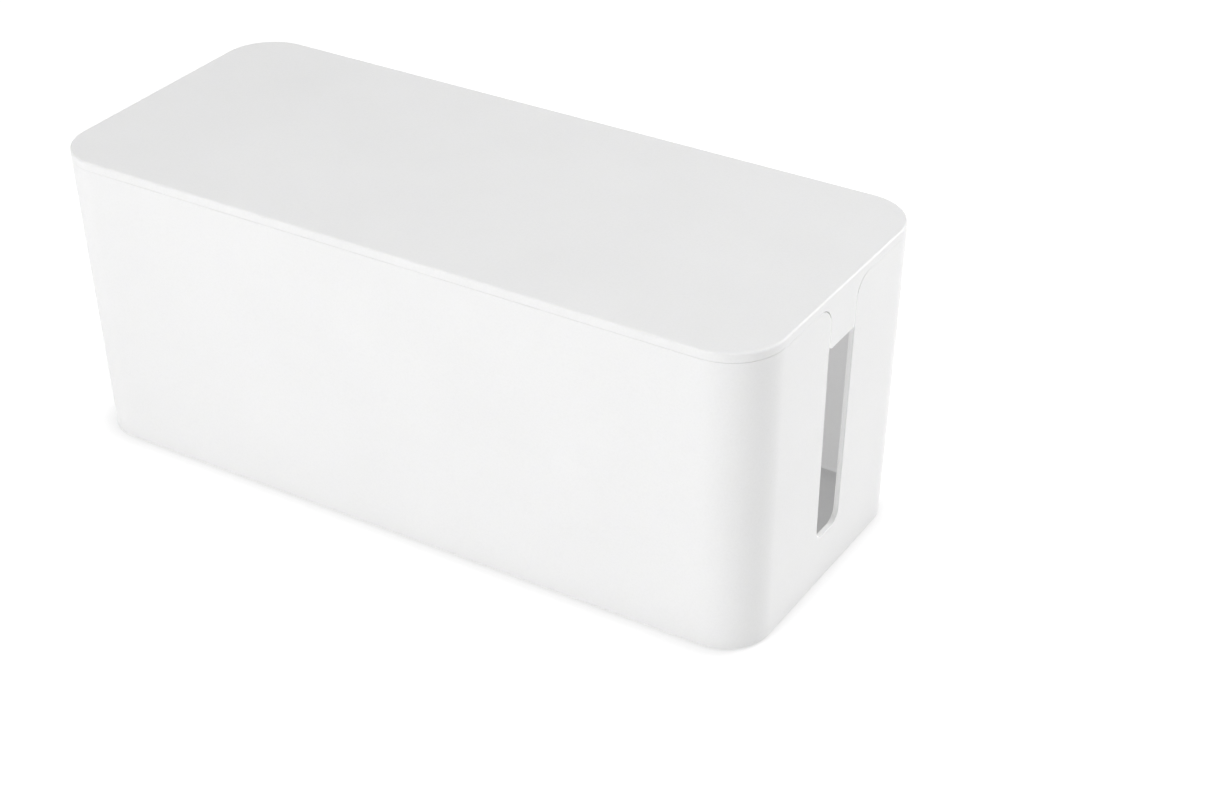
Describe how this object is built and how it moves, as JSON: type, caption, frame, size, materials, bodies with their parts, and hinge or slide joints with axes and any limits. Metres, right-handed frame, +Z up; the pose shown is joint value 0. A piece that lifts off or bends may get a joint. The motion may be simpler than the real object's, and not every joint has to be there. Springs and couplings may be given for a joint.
{
  "type": "cable management box",
  "caption": "Tall moulded box that hides a power strip: leaning walls, rounded corners, a cable slot in each end, a flush lift-off lid whose tongues close the slots, and rubber feet.",
  "frame": {"origin": "on the surface that the box stands on, under the middle of the box", "axes": "+X along the length towards one slotted end, +Y from front to rear across the width, +Z up"},
  "size_m": [0.32, 0.135, 0.1311],
  "materials": {
    "body_plastic": "white moulded plastic, fine satin texture outside",
    "lid_plastic": "white moulded plastic, fine satin texture on top, polished edge",
    "foot_rubber": "grey matte anti-slip rubber"
  },
  "bodies": {
    "box": {"box_body": "body_plastic", "foot_front_left": "foot_rubber", "foot_front_right": "foot_rubber", "foot_rear_left": "foot_rubber", "foot_rear_right": "foot_rubber"},
    "lid": {"lid": "lid_plastic"}
  },
  "joints": [
    {"name": "lid_lift", "type": "slide", "parent": "box", "child": "lid", "axis": [0, 0, 1], "range_m": [0, 0.15]}
  ]
}
